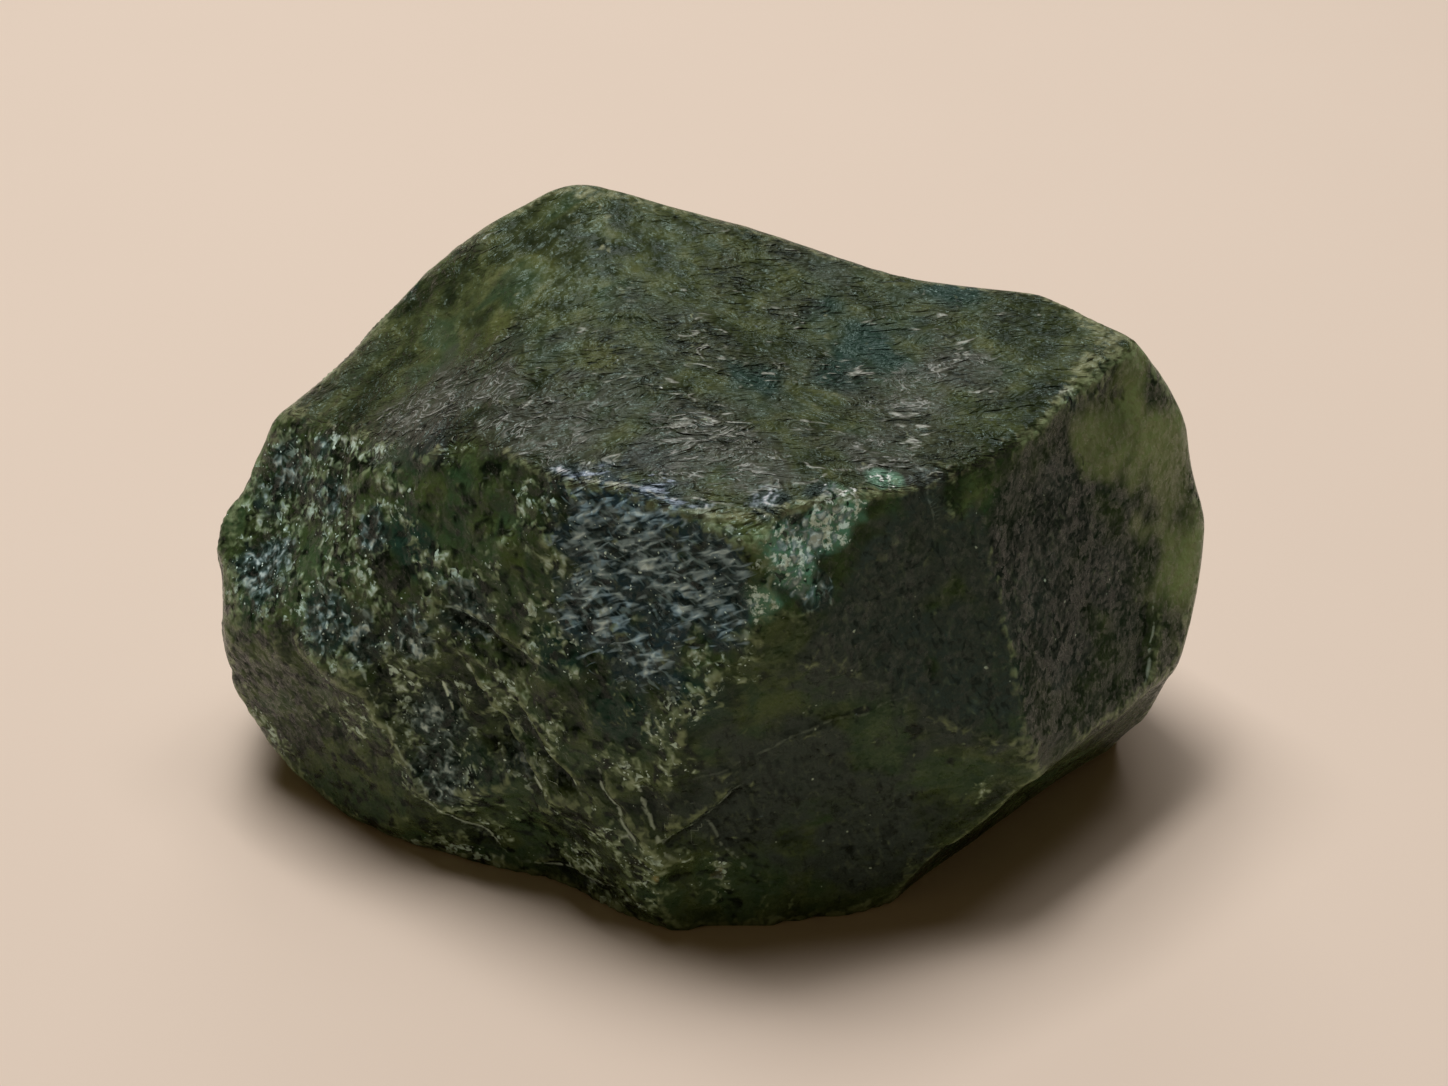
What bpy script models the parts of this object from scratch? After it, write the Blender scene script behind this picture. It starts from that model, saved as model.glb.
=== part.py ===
"""Raw jade boulder: a hand-sized, water-worn block of nephrite, broken along flat faces and dished by flake scars.

The stone is one solid. Seen from its heart, every direction meets the surface once, so its form is a single length
for each direction: the shortest way to any of its faces, with the edges between them worn round, less the dishes
that flakes have left, plus low swells. Lengths are in millimetres, and angles in degrees: "turn" runs anticlockwise
from +X seen from above, and "lift" is the angle above the level. -Y is the front and +X the right.
"""

from math import asin, cos, degrees, pi, radians, sin
from typing import NamedTuple

import bmesh
import bpy
import numpy as np

MM = 0.001
HEART_HEIGHT = 32.0  # of the point that all faces are measured from, over the base
NEVER_MET = 1.0e4  # the length given to a direction that leads away from a face

SPHERE_SUBDIVISIONS = 8
KEPT_FACES = 9600  # of the finished solid, after the fine sphere is thinned
BASE_ALLOWANCE = 1.2  # of stone under the base plane, cut off to leave a flat face to rest on

CHIP_SEED = 11
CHIP_COUNT = 90
CHIP_WIDTHS = (7.0, 16.0)  # half widths, narrowest and widest
CHIP_DEPTH = 0.05  # of its half width
CHIP_WEAR = 0.3

SWELL_SEED = 4
SWELL_WAVES = 14
SWELL_LENGTHS = (16.0, 40.0)  # shortest and longest wave
SWELL_HEIGHT = 0.22  # of each wave

JADE_GREEN = (0.045, 0.062, 0.028, 1.0)
JADE_ROUGHNESS = 0.38


class Face(NamedTuple):
    """One broken face: the way it looks, its distance from the heart and the wear of its edges."""

    turn: float
    lift: float
    reach: float
    wear: float


class Dish(NamedTuple):
    """A hollow left by a flake: its place, half width, depth and edge wear."""

    turn: float
    lift: float
    width: float
    depth: float
    wear: float


FACES = {
    "top": Face(-52, 79, 34.2, 2.5),
    "top_left": Face(-148, 72, 35.6, 3.0),
    "left_flank": Face(-163, 62, 39.2, 2.5),
    "front_left": Face(-135, 24, 40.6, 2.5),
    "front_middle": Face(-120, 11, 37.4, 2.5),
    "front_facet": Face(-104, 15, 40.4, 2.0),
    "front_low": Face(-115, -1, 37.8, 2),
    "low_left": Face(-129, -8, 43.2, 1.5),
    "under_left": Face(-116, -17, 41.3, 1.5),
    "near_right": Face(-62, 20, 42.6, 2.0),
    "right": Face(-40, 18, 44.8, 2.0),
    "low_front": Face(-80, -9, 38.6, 1.5),
    "under_right": Face(-45, -30, 47.8, 1.5),
    "right_end": Face(14, 17, 58.4, 2.0),
    "right_low": Face(5, -14, 58.8, 2.0),
    "left": Face(178, 21, 57.5, 3.0),
    "left_low": Face(182, -9, 59.8, 2.5),
    "left_under": Face(190, -42, 58.5, 3.0),
    "back_upper": Face(71, 37, 36.0, 2.5),
    "back_upper_left": Face(130, 39, 46.3, 3.0),
    "back_upper_right": Face(45, 32, 45.6, 2.5),
    "back_left": Face(135, 14, 42.8, 3.0),
    "back": Face(92, 4, 41.6, 2.5),
    "back_right": Face(40, 5, 50.0, 3.0),
    "back_under": Face(80, -40, 42.0, 2.5),
    "back_low": Face(62, -16, 45.0, 2.0),
    "back_low_left": Face(118, -14, 45.5, 2.0),
    "base": Face(0, -90, HEART_HEIGHT + BASE_ALLOWANCE, 2.0),
}

DISHES = {
    "top_valley": Dish(30, 62, 34, 3.6, 5),
    "back_saddle": Dish(33, 44, 14, 1.0, 2.5),
    "left_hollow": Dish(174, 29, 22, 4.2, 5),
    "left_notch": Dish(-178, 12, 14, 4.4, 5),
    "foot_notch": Dish(-125, -35, 12, 3.2, 2.5),
    "front_hollow": Dish(-136, -14, 13, 1.6, 0.8),
    "right_scar": Dish(-51, 8, 19, 2.0, 1),
    "right_foot": Dish(-28, -29, 11, 1.4, 1.5),
    "back_flake": Dish(80, 16, 17, 1.8, 2.0),
    "back_left_flake": Dish(142, -6, 15, 1.8, 2.0),
    "side_notch": Dish(-35, -11, 5, 0.9, 0.6),
    "edge_notch": Dish(-43, 40, 5, 0.8, 0.6),
    "toe_chip": Dish(-91, -36, 8, 1.2, 0.8),
    "toe_scar": Dish(-101, -16, 6, 0.8, 0.6),
    "under_back": Dish(88, -52, 21, 3.0, 2.5),
    "under_right_end": Dish(5, -42, 22, 3.4, 2.5),
    "under_left_end": Dish(172, -42, 22, 3.4, 2.5),
}


def direction(turn, lift):
    """The unit vector that looks this way."""
    turn, lift = radians(turn), radians(lift)
    return np.array([cos(lift) * cos(turn), cos(lift) * sin(turn), sin(lift)])


def worn_lesser(first, second, wear):
    """The lesser of two lengths, eased below both by a quarter of the wear where they are alike."""
    near = np.clip(1.0 - np.abs(first - second) / wear, 0.0, 1.0)
    return np.minimum(first, second) - 0.25 * wear * near**2


def reach_of_face(ways, face):
    """The length along each way to the face's plane."""
    facing = ways @ direction(face.turn, face.lift)
    return np.where(facing > 1e-3, face.reach / np.maximum(facing, 1e-3), NEVER_MET)


def reach_of_ball(ways, centre, radius):
    """The length along each way to where it enters a ball that lies outside the stone."""
    along = ways @ centre
    inside = along**2 - centre @ centre + radius**2
    entry = along - np.sqrt(np.maximum(inside, 0.0))
    return np.where((inside > 0.0) & (along > 0.0), entry, NEVER_MET)


def broken_block(ways):
    """The block before any flake left it: the worn least of the lengths to its faces."""
    lengths = np.full(len(ways), NEVER_MET)
    for face in FACES.values():
        lengths = worn_lesser(lengths, reach_of_face(ways, face), face.wear)
    return lengths


def surface_point(turn, lift):
    """The block's surface in this direction, and the surface's normal there, from its slope each way."""
    step = 1.0
    spots = [(turn, lift), (turn + step, lift), (turn, lift + step)]
    ways = np.array([direction(*spot) for spot in spots])
    here, along_turn, along_lift = ways * broken_block(ways)[:, None]
    normal = np.cross(along_turn - here, along_lift - here)
    return here, normal / np.linalg.norm(normal)


def dish_ball(dish):
    """The centre and radius of the ball that leaves this dish."""
    spot, normal = surface_point(dish.turn, dish.lift)
    radius = (dish.width**2 + dish.depth**2) / (2.0 * dish.depth)
    return spot + normal * (radius - dish.depth), radius


def small_chips():
    """Shallow flake scars in random places, crowded enough to run into each other."""
    rng = np.random.default_rng(CHIP_SEED)
    for _ in range(CHIP_COUNT):
        turn = rng.uniform(-180.0, 180.0)
        lift = degrees(asin(rng.uniform(-0.65, 0.95)))
        width = rng.uniform(*CHIP_WIDTHS)
        yield Dish(turn, lift, width, CHIP_DEPTH * width, CHIP_WEAR)


def swells(points):
    """Low waves in random directions, summed, so that no face is truly flat."""
    rng = np.random.default_rng(SWELL_SEED)
    height = np.zeros(len(points))
    for _ in range(SWELL_WAVES):
        heading = rng.normal(size=3)
        length = rng.uniform(*SWELL_LENGTHS)
        phase = rng.uniform(0.0, 2.0 * pi)
        run = points @ (heading / np.linalg.norm(heading))
        height += SWELL_HEIGHT * np.sin(2.0 * pi * run / length + phase)
    return height


def stone_lengths(ways):
    """The stone's own length in each direction, from its heart to its surface."""
    lengths = broken_block(ways)
    lengths = lengths + swells(ways * lengths[:, None])
    for dish in (*DISHES.values(), *small_chips()):
        centre, radius = dish_ball(dish)
        lengths = worn_lesser(lengths, reach_of_ball(ways, centre, radius), dish.wear)
    return lengths


def clear_scene():
    """Removes whatever the scene holds."""
    for obj in list(bpy.data.objects):
        bpy.data.objects.remove(obj)


def jade():
    """Dark green nephrite with a waxy surface."""
    material = bpy.data.materials.new("jade")
    material.use_nodes = True
    shader = material.node_tree.nodes["Principled BSDF"]
    shader.inputs["Base Color"].default_value = JADE_GREEN
    shader.inputs["Roughness"].default_value = JADE_ROUGHNESS
    return material


def shape_sphere(mesh):
    """Moves each point of a unit sphere out or in to the stone's surface."""
    count = len(mesh.vertices)
    ways = np.empty(3 * count)
    mesh.vertices.foreach_get("co", ways)
    ways = ways.reshape(count, 3)
    ways /= np.linalg.norm(ways, axis=1, keepdims=True)
    points = ways * stone_lengths(ways)[:, None]
    points[:, 2] += HEART_HEIGHT
    mesh.vertices.foreach_set("co", (points * MM).ravel())
    mesh.update()


def thin_faces(obj):
    """Merges faces where the stone is even, and keeps them small along its edges."""
    thinned = obj.modifiers.new("thin", "DECIMATE")
    thinned.ratio = KEPT_FACES / len(obj.data.polygons)
    bpy.context.view_layer.update()
    graph = bpy.context.evaluated_depsgraph_get()
    fine = obj.data
    obj.data = bpy.data.meshes.new_from_object(obj.evaluated_get(graph))
    obj.modifiers.clear()
    bpy.data.meshes.remove(fine)


def cut_base(mesh):
    """Cuts the stone off level at the base plane, which leaves one flat face."""
    bm = bmesh.new()
    bm.from_mesh(mesh)
    everything = bm.verts[:] + bm.edges[:] + bm.faces[:]
    cut = bmesh.ops.bisect_plane(
        bm, geom=everything, plane_co=(0, 0, 0), plane_no=(0, 0, 1), clear_inner=True
    )
    rim = [element for element in cut["geom_cut"] if isinstance(element, bmesh.types.BMEdge)]
    bmesh.ops.triangle_fill(bm, edges=rim, use_beauty=True)
    bmesh.ops.recalc_face_normals(bm, faces=bm.faces)
    bm.to_mesh(mesh)
    bm.free()


def centre_over_origin(mesh):
    """Slides the stone sideways until its bounding box is centred over the origin."""
    points = np.empty(3 * len(mesh.vertices))
    mesh.vertices.foreach_get("co", points)
    points = points.reshape(-1, 3)
    middle = (points.min(axis=0) + points.max(axis=0)) / 2.0
    points[:, :2] -= middle[:2]
    mesh.vertices.foreach_set("co", points.ravel())
    mesh.update()


def build_boulder(collection):
    """The whole stone, standing on its flat base."""
    mesh = bpy.data.meshes.new("boulder")
    bm = bmesh.new()
    bmesh.ops.create_icosphere(bm, subdivisions=SPHERE_SUBDIVISIONS, radius=1.0)
    bm.to_mesh(mesh)
    bm.free()
    boulder = bpy.data.objects.new("boulder", mesh)
    collection.objects.link(boulder)
    shape_sphere(mesh)
    thin_faces(boulder)
    cut_base(boulder.data)
    centre_over_origin(boulder.data)
    boulder.data.name = "boulder"
    boulder.data.materials.clear()
    boulder.data.materials.append(jade())
    boulder.data.shade_smooth()
    return boulder


def main():
    clear_scene()
    collection = bpy.data.collections.new("raw_jade_boulder")
    bpy.context.scene.collection.children.link(collection)
    build_boulder(collection)


main()
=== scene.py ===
"""Raw jade boulder: a hand-sized block of nephrite as it came from the river, standing on a pale floor.

The stone is one closed skin. Seen from its heart, every direction meets the surface once, so its form is a
length for each direction of a fine lattice: the block of flat breaks, the dishes that flakes have left in it,
and then the small relief that only a close look shows. Lengths are in millimetres until the mesh is made.
"Turn" runs anticlockwise from +X seen from above and "lift" is the angle above the level, both in degrees;
-Y is the front and +X the right.
"""

import logging
from dataclasses import dataclass, field
from enum import Enum
from itertools import product
from math import asin, cos, degrees, pi, radians, sin
from typing import Any, Iterable, Iterator, NamedTuple

import bpy
import numpy as np
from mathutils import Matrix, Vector
from numpy.typing import NDArray


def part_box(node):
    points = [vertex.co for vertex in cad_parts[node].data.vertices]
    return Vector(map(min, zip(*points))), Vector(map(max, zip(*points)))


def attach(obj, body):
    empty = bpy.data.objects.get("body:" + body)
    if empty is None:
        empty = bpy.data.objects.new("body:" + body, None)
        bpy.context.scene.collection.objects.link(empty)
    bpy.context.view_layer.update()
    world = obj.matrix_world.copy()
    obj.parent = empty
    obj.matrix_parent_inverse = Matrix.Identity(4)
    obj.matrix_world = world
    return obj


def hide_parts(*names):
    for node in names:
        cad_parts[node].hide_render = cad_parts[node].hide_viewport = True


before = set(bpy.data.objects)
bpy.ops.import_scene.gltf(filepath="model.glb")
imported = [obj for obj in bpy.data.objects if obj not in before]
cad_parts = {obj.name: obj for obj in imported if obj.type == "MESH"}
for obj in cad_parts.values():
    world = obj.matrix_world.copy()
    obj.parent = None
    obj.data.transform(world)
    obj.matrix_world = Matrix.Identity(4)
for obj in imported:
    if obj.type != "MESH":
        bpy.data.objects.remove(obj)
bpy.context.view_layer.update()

Array = NDArray[np.float64]
Whole = NDArray[np.int64]
Colour = tuple[float, float, float, float]

LOG = logging.getLogger("raw_jade_boulder")
MM = 0.001
NEVER_MET = 1.0e4  # the length given to a direction that leads away from a face


class Face(NamedTuple):
    """One broken face: the way it looks, its distance from the heart and the wear of its edges."""

    turn: float
    lift: float
    reach: float
    wear: float


class Dish(NamedTuple):
    """A hollow left by a flake: its place, half width, depth and edge wear."""

    turn: float
    lift: float
    width: float
    depth: float
    wear: float


class Ledge(NamedTuple):
    """A step where one flake broke off against another.

    It has two ends as turn and lift, its drop to the left of the way from one to the other, how far that runs
    out, and how strong the highlight painted on its lip and the shadow painted under it are, from 0 to 1.
    """

    turn: float
    lift: float
    end_turn: float
    end_lift: float
    drop: float
    run_out: float
    shine: float


class Patch(NamedTuple):
    """A place where the stone differs: its middle as turn and lift, and its half width."""

    turn: float
    lift: float
    width: float


class Mark(Enum):
    """What a patch can be; the value is the name of the mesh attribute that carries it."""

    FROST = "frost"
    NEEDLE = "needle"
    SHEEN = "sheen"
    # an emerald tint, painted lighter where it stands for the glow of light passing a little way into the
    # corner
    EMERALD_GLOW = "emerald_glow"
    YELLOW = "yellow"
    SHADE = "shade"
    RIND = "rind"
    SOUND = "sound"
    TEAL = "teal"


FACES: dict[str, Face] = {
    "top": Face(-52, 79, 34.2, 2.5),
    "top_left": Face(-148, 72, 35.6, 7.0),
    "left_flank": Face(-163, 62, 39.2, 2.5),
    "front_left": Face(-135, 24, 40.6, 2.5),
    "front_middle": Face(-120, 11, 37.4, 2.5),
    "front_facet": Face(-104, 15, 40.4, 2.0),
    "front_low": Face(-115, -1, 37.8, 2),
    "low_left": Face(-129, -8, 43.2, 1.5),
    "under_left": Face(-116, -17, 41.3, 1.5),
    "near_right": Face(-62, 20, 42.6, 2.0),
    "right": Face(-40, 18, 44.8, 2.0),
    "low_front": Face(-80, -9, 38.6, 1.5),
    "under_right": Face(-45, -30, 47.8, 1.5),
    "right_end": Face(14, 17, 58.4, 2.0),
    "right_low": Face(5, -14, 58.8, 2.0),
    "left": Face(178, 21, 57.5, 3.0),
    "left_low": Face(182, -9, 59.8, 2.5),
    "left_under": Face(190, -42, 58.5, 3.0),
    "back_upper": Face(71, 37, 36.0, 2.5),
    "back_upper_left": Face(130, 39, 46.3, 3.0),
    "back_upper_right": Face(45, 32, 45.6, 2.5),
    "back_left": Face(135, 14, 42.8, 3.0),
    "back": Face(92, 4, 41.6, 2.5),
    "back_right": Face(40, 5, 50.0, 3.0),
    "back_under": Face(80, -40, 42.0, 2.5),
    "back_low": Face(62, -16, 45.0, 2.0),
    "back_low_left": Face(118, -14, 45.5, 2.0),
    "base": Face(0, -90, 33.2, 2.0),
}

DISHES: dict[str, Dish] = {
    "top_valley": Dish(30, 62, 34, 3.6, 5),
    "back_saddle": Dish(33, 44, 14, 1.0, 2.5),
    "left_hollow": Dish(174, 29, 22, 4.2, 5),
    "left_notch": Dish(-178, 12, 14, 4.4, 5),
    "foot_notch": Dish(-125, -35, 12, 3.2, 2.5),
    "front_hollow": Dish(-136, -14, 13, 1.6, 0.8),
    "right_scar": Dish(-51, 8, 19, 2.0, 1),
    "right_foot": Dish(-28, -29, 11, 1.4, 1.5),
    "back_flake": Dish(80, 16, 17, 1.8, 2.0),
    "back_left_flake": Dish(142, -6, 15, 1.8, 2.0),
    "side_notch": Dish(-35, -11, 5, 0.9, 0.6),
    "edge_notch": Dish(-43, 40, 5, 0.8, 0.6),
    "toe_chip": Dish(-91, -36, 8, 1.2, 0.8),
    "toe_scar": Dish(-101, -16, 6, 0.8, 0.6),
    "under_back": Dish(88, -52, 21, 3.0, 2.5),
    "under_right_end": Dish(5, -42, 22, 3.4, 2.5),
    "under_left_end": Dish(172, -42, 22, 3.4, 2.5),
}

LEDGES: dict[str, Ledge] = {
    "flank_splinter": Ledge(-138, -10, -141, -3, 1.0, 3.0, 1.0),
    "flank_upper": Ledge(-126, -14, -138, 4, 1.6, 6.0, 0.8),
    "flank_lower": Ledge(-113, -18, -127, -2, 1.8, 7.0, 1.0),
    "flank_inner": Ledge(-119, -24, -131, -8, 1.5, 6.0, 0.8),
    "flank_brow": Ledge(-118, 8, -142, 12, 0.9, 5.0, 0.2),
    "hollow_rim": Ledge(-156, 2, -142, -30, 1.6, 7.0, 0.4),
    "band_edge": Ledge(-157, -22, -164, -1, 0.8, 5.0, 0.1),
    "under_rim_left": Ledge(-131, -41, -147, -25, 1.0, 3.5, 0.5),
    "under_rim": Ledge(-103, -39, -131, -41, 1.0, 3.5, 0.5),
    "toe_left": Ledge(-100, -27, -110, -9, 1.1, 4.0, 0.5),
    "toe_right": Ledge(-102, -10, -96, -28, 1.0, 4.0, 0.5),
    "dark_facet": Ledge(-83, -11, -97, -25, 1.2, 6.0, 0.3),
    "toe_crack": Ledge(-98, -33, -85, -35, 0.8, 3.0, 0.0),
    "foot_line": Ledge(-91, -19, -80, -34, 0.6, 4.0, 0.2),
    "top_rim": Ledge(-45, 42, -83, 41, 0.3, 3.0, 0.2),
    "top_rim_left": Ledge(-84, 40, -119, 41, 0.3, 3.0, 0.3),
    "left_brow": Ledge(-176, 24, -162, 4, 0.9, 5.0, 0.5),
    "corner_chip": Ledge(-47, 28, -44, 42, 0.3, 4.0, 0.1),
    "right_crease": Ledge(-53, 13, -41, 37, 0.4, 6.0, 0.0),
    "right_step": Ledge(-93, -9, -56, 6, 0.35, 6.0, 0.1),
    "right_lip": Ledge(-16, -11, -10, -1, 0.9, 4.0, 0.3),
    "under_rim_right": Ledge(-11, -26, -50, -29, 0.7, 3.0, 0.4),
    "back_step": Ledge(70, 20, 108, 2, 1.3, 7.0, 0.3),
    "back_step_low": Ledge(100, 26, 128, -4, 1.1, 6.0, 0.2),
    "left_step": Ledge(168, 6, 150, -16, 1.2, 6.0, 0.3),
    "end_step": Ledge(18, 20, 26, -14, 1.0, 6.0, 0.2),
}

PATCHES: dict[Mark, tuple[Patch, ...]] = {
    Mark.TEAL: (
        Patch(3, 60, 10), Patch(15, 45, 7), Patch(-60, 70, 6), Patch(-20, 62, 8), Patch(-141, -12, 7),
        Patch(-134, -20, 6), Patch(-91, 9, 7), Patch(-104, 5, 7), Patch(-116, 10, 6), Patch(-150, 18, 6),
    ),
    Mark.FROST: (
        Patch(-178, 12, 8), Patch(-172, 2, 8), Patch(-158, 1, 6), Patch(-154, 0, 5), Patch(-169, 15, 6),
        Patch(-158, 17, 4), Patch(-119, 42, 5), Patch(-142, -12, 6), Patch(-143, -22, 6), Patch(-74, 35, 5),
        Patch(176, 23, 6), Patch(157, 33, 3), Patch(-13, 33, 3), Patch(-97, 38, 3), Patch(-175, 19, 5),
        Patch(-137, 12, 6), Patch(-146, 4, 5), Patch(-127, -16, 5), Patch(-109, 41, 3), Patch(-90, 40, 2.5),
        Patch(-78, 40, 4), Patch(-67, 38, 5), Patch(-71, 33, 5), Patch(-76, 30, 5), Patch(-71, 27, 4),
    ),
    Mark.NEEDLE: (
        Patch(-105, 32, 11), Patch(-92, 26, 10), Patch(-101, 17, 9), Patch(-112, 36, 8), Patch(-102, 37, 7),
        Patch(-108, 22, 9), Patch(-90, 33, 6),
    ),
    Mark.SHEEN: (
        Patch(-167, 38, 12), Patch(-130, 49, 14), Patch(-165, 29, 7), Patch(-92, 52, 12), Patch(-159, 49, 8),
        Patch(-158, -8, 3), Patch(-156, -16, 3), Patch(-161, -3, 3), Patch(-49, 44, 8), Patch(-78, 47, 9),
        Patch(-30, 50, 10), Patch(-10, 45, 7),
    ),
    # painted glow: the corner where light passes a little way into the stone is painted a lighter emerald
    Mark.EMERALD_GLOW: (
        Patch(-68, 35, 5), Patch(-62, 38, 4), Patch(-75, 32, 6), Patch(-81, 26, 4), Patch(-53, 40, 3),
    ),
    Mark.YELLOW: (
        Patch(-84, 37, 5), Patch(-81, 32, 3), Patch(-97, 8, 3.5), Patch(147, 59, 8), Patch(179, 51, 5),
        Patch(-40, 53, 6), Patch(-146, 66, 5), Patch(-8, 25, 9), Patch(-2, 12, 12), Patch(-1, 30, 9),
        Patch(-4, -1, 11), Patch(-58, -33, 5), Patch(-101, -29, 5), Patch(-78, 21, 4), Patch(-150, 29, 4),
        Patch(-128, 26, 4), Patch(-173, -5, 4), Patch(124, 62, 5), Patch(3, 40, 6), Patch(-78, 6, 5),
        Patch(-94, -33, 4), Patch(-168, -8, 4),
    ),
    Mark.SHADE: (
        Patch(-60, 17, 16), Patch(-50, 26, 12), Patch(-46, 8, 17), Patch(-76, -14, 17), Patch(-60, -27, 14),
        Patch(-88, -20, 7), Patch(-33, 11, 9), Patch(-48, 34, 6), Patch(-23, 19, 9), Patch(-40, 19, 8),
        Patch(-30, 14, 12), Patch(-27, 2, 10), Patch(-22, 20, 10), Patch(-17, 6, 7), Patch(-119, -30, 5),
        Patch(-136, -24, 4), Patch(-155, 35, 6), Patch(-102, 49, 5), Patch(-42, 1, 6),
    ),
    Mark.RIND: (Patch(-98, -32, 2.2), Patch(-93, -33, 2.4), Patch(-88, -34, 2.2)),
    Mark.SOUND: (
        Patch(147, 59, 14), Patch(164, 46, 12), Patch(127, 66, 10), Patch(161, 37, 8), Patch(-166, -14, 10),
        Patch(-163, -25, 10), Patch(-171, -8, 5), Patch(-152, -30, 7), Patch(-59, 22, 13), Patch(-48, 10, 12),
        Patch(-74, -12, 13), Patch(-63, -29, 10), Patch(-81, 0, 8), Patch(-31, 11, 12), Patch(-25, -5, 10),
        Patch(-10, 11, 8), Patch(-91, -21, 5),
    ),
}

# How many more patches of each mark are strewn over the back; the other marks stay where they are listed.
SCATTERED: dict[Mark, int] = {
    Mark.FROST: 7, Mark.SHEEN: 4, Mark.YELLOW: 7, Mark.SHADE: 8, Mark.TEAL: 4, Mark.SOUND: 4,
}


def direction(turn: float, lift: float) -> Array:
    """The unit vector that looks this way."""
    turn, lift = radians(turn), radians(lift)
    return np.array([cos(lift) * cos(turn), cos(lift) * sin(turn), sin(lift)])


def smooth(values: Array, low: float, high: float) -> Array:
    """Rises from 0 at low to 1 at high along 3t^2 - 2t^3."""
    share = np.clip((values - low) / (high - low), 0.0, 1.0)
    return share * share * (3.0 - 2.0 * share)


def at_least(share: Array, least: float) -> Array:
    """A share from 0 to 1 brought to between its least and 1."""
    return least + (1.0 - least) * share


def drawn_out(points: Array, along: tuple[float, float, float], times: float) -> Array:
    """The points squeezed along one way, so that a pattern read there is drawn out along it so many times."""
    heading = np.array(along) / np.linalg.norm(along)
    return points - np.outer(points @ heading, heading) * (1.0 - 1.0 / times)


def worn_lesser(first: Array, second: Array, wear: float) -> Array:
    """The lesser of two lengths, eased below both by a quarter of the wear where they are alike."""
    near = np.clip(1.0 - np.abs(first - second) / wear, 0.0, 1.0)
    return np.minimum(first, second) - 0.25 * wear * near**2


class Grain:
    """Smooth random heights all through space, between about -1 and 1."""

    def __init__(self, seed: int, cells: int = 48) -> None:
        """Draws a random slope for each corner of a cubic lattice, and a random turn for the lattice.

        Args:
            seed: of the random draw.
            cells: along each side of the lattice, after which it repeats.
        """
        rng = np.random.default_rng(seed)
        slopes = rng.normal(size=(cells, cells, cells, 3))
        self.cells = cells
        self.own = rng.uniform(size=(cells, cells, cells))
        self.slopes = slopes / np.linalg.norm(slopes, axis=-1, keepdims=True)
        self.turned = np.linalg.qr(rng.normal(size=(3, 3)))[0]

    def heights(self, points: Array, size: float) -> Array:
        """The height at each point: its eight corners' slopes times the way to them, each by its share.

        A share is the product over the three axes of 6t^5 - 15t^4 + 10t^3, with t the way into the cell.

        Args:
            points: rows of x, y, z.
            size: of one cell, in the same unit.

        Returns:
            One height for each point.
        """
        spots = points @ self.turned / size
        corner_cell = np.floor(spots).astype(int)
        inside = spots - corner_cell
        ease = inside**3 * (inside * (inside * 6.0 - 15.0) + 10.0)
        total = np.zeros(len(points))
        for corner in product((0, 1), repeat=3):
            share = np.prod(np.where(corner, ease, 1.0 - ease), axis=1)
            cell = (corner_cell + corner) % self.cells
            slope = self.slopes[cell[:, 0], cell[:, 1], cell[:, 2]]
            total += share * np.einsum("ij,ij->i", slope, inside - corner)
        return 1.7 * total

    def clouds(self, points: Array, size: float, layers: int) -> Array:
        """Heights in layers, each half the size and height of the one before, brought back to -1 to 1.

        Args:
            points: rows of x, y, z.
            size: of the first layer's cells, in the same unit.
            layers: how many to add up.

        Returns:
            One height for each point.
        """
        shares = 0.5 ** np.arange(layers)
        parts = [
            share * self.heights(points + 7.3 * size * k, size * share)
            for k, share in enumerate(shares)
        ]
        return np.sum(parts, axis=0) / shares.sum() * 1.3

    def crests(self, points: Array, size: float, layers: int) -> Array:
        """Sharp winding crests, 0 to 1: the layers' (1 - |height|)^2 with the same halving.

        Args:
            points: rows of x, y, z.
            size: of the first layer's cells, in the same unit.
            layers: how many to add up.

        Returns:
            One value for each point, greatest along the crests.
        """
        shares = 0.5 ** np.arange(layers)
        parts = [
            share * (1.0 - np.abs(self.heights(points + 5.1 * size * k, size * share))) ** 2
            for k, share in enumerate(shares)
        ]
        return np.sum(parts, axis=0) / shares.sum()

    def facets(self, points: Array, size: float) -> Array:
        """Small leaning planes with crisp edges, as of a stepped break, about 0 to 1.

        Each lattice cell holds one strewn seed. A point takes the nearest seed's own share, plus its slope
        times the way from it.

        Args:
            points: rows of x, y, z.
            size: of one cell, in the same unit.

        Returns:
            One value for each point.
        """
        spots = points @ self.turned / size
        home = np.floor(spots).astype(int)
        nearest, found = np.full(len(points), np.inf), np.zeros(len(points))
        for step in product((-1, 0, 1), repeat=3):
            place = home + step
            cell = place % self.cells
            gap = spots - place - 0.5 - 0.45 * self.slopes[cell[:, 0], cell[:, 1], cell[:, 2]]
            distance = np.einsum("ij,ij->i", gap, gap)
            slope = self.slopes[cell[:, 1], cell[:, 2], cell[:, 0]]
            value = self.own[cell[:, 0], cell[:, 1], cell[:, 2]] + 0.7 * np.einsum("ij,ij->i", gap, slope)
            found = np.where(distance < nearest, value, found)
            nearest = np.minimum(distance, nearest)
        return found


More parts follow.
